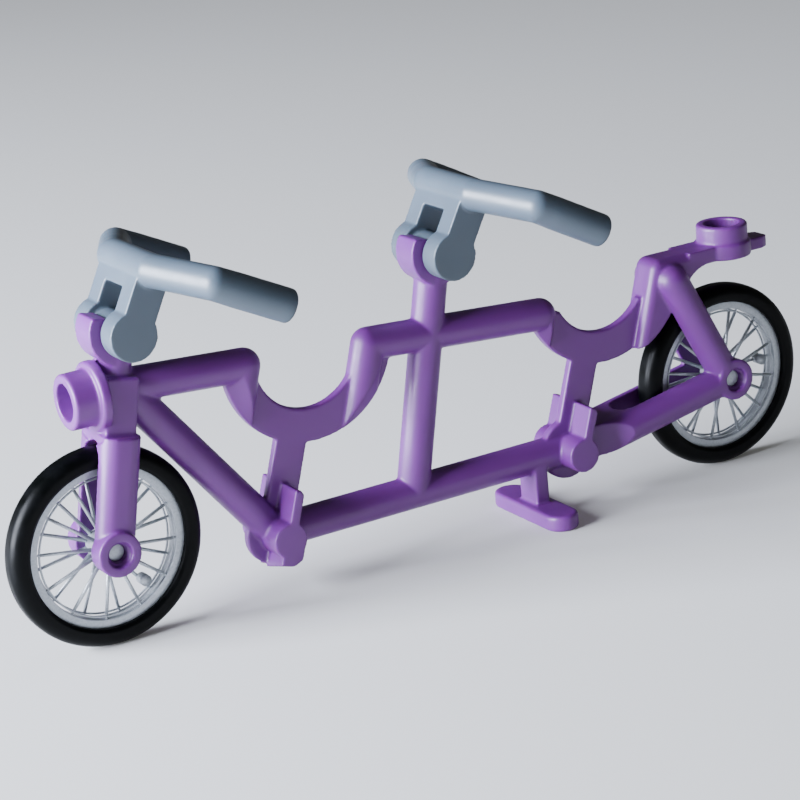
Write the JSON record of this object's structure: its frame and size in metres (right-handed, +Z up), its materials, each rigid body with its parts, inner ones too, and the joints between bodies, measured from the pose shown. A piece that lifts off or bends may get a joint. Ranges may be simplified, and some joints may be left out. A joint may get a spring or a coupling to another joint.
{
  "type": "toy tandem bicycle",
  "caption": "Tandem bicycle for construction-toy figures: moulded frame with saddle cradles, foot plates, stand and rack, spoked wheels that spin and handlebars that tilt.",
  "frame": {"origin": "centre of the bounding box in plan, on the ground plane", "axes": "+X towards the rear (the front faces -X), +Y to the right of travel, +Z up"},
  "size_m": [0.0814, 0.0226, 0.0336],
  "materials": {
    "frame_plastic": "satin lavender moulded plastic",
    "handlebar_plastic": "satin light blue-grey moulded plastic",
    "wheel_plastic": "silver-grey plastic with fine metallic flake",
    "tyre_rubber": "smooth near-black rubber"
  },
  "bodies": {
    "frame": {"head_block": "frame_plastic", "lamp_socket": "frame_plastic", "fork_crown": "frame_plastic", "fork_blade_left": "frame_plastic", "fork_blade_right": "frame_plastic", "front_clip": "frame_plastic", "rear_clip": "frame_plastic", "mid_tube": "frame_plastic", "top_tube_front": "frame_plastic", "top_tube_middle": "frame_plastic", "top_tube_rear": "frame_plastic", "down_tube": "frame_plastic", "keel_tube": "frame_plastic", "chainring_front": "frame_plastic", "chainring_rear": "frame_plastic", "saddle_front": "frame_plastic", "saddle_rear": "frame_plastic", "seat_post_front": "frame_plastic", "seat_post_rear": "frame_plastic", "crank_left_front": "frame_plastic", "crank_right_front": "frame_plastic", "crank_left_rear": "frame_plastic", "crank_right_rear": "frame_plastic", "dropout_left": "frame_plastic", "dropout_right": "frame_plastic", "chain_stay_left": "frame_plastic", "chain_stay_right": "frame_plastic", "seat_stay_left": "frame_plastic", "seat_stay_right": "frame_plastic", "stay_yoke": "frame_plastic", "kick_stand": "frame_plastic", "rack_block": "frame_plastic", "rack_plate": "frame_plastic", "rack_stud": "frame_plastic"},
    "front_wheel": {"front_tyre": "tyre_rubber", "front_rim": "wheel_plastic", "front_hub": "wheel_plastic", "front_spokes": "wheel_plastic"},
    "rear_wheel": {"rear_tyre": "tyre_rubber", "rear_rim": "wheel_plastic", "rear_hub": "wheel_plastic", "rear_spokes": "wheel_plastic"},
    "front_handlebar": {"front_bar": "handlebar_plastic", "front_clevis": "handlebar_plastic", "front_pin": "handlebar_plastic"},
    "rear_handlebar": {"rear_bar": "handlebar_plastic", "rear_clevis": "handlebar_plastic", "rear_pin": "handlebar_plastic"}
  },
  "joints": [
    {"name": "front_wheel_spin", "type": "hinge", "parent": "frame", "child": "front_wheel", "pos_m": [-0.032, 0, 0.00875], "axis": [0, 1, 0], "continuous": true},
    {"name": "rear_wheel_spin", "type": "hinge", "parent": "frame", "child": "rear_wheel", "pos_m": [0.032, 0, 0.00875], "axis": [0, 1, 0], "continuous": true},
    {"name": "front_handlebar_tilt", "type": "hinge", "parent": "frame", "child": "front_handlebar", "pos_m": [-0.02854, 0, 0.02687], "axis": [0, 1, 0], "range_deg": [-100, 60]},
    {"name": "rear_handlebar_tilt", "type": "hinge", "parent": "frame", "child": "rear_handlebar", "pos_m": [0.00219, 0, 0.0271], "axis": [0, 1, 0], "range_deg": [-100, 60]}
  ]
}
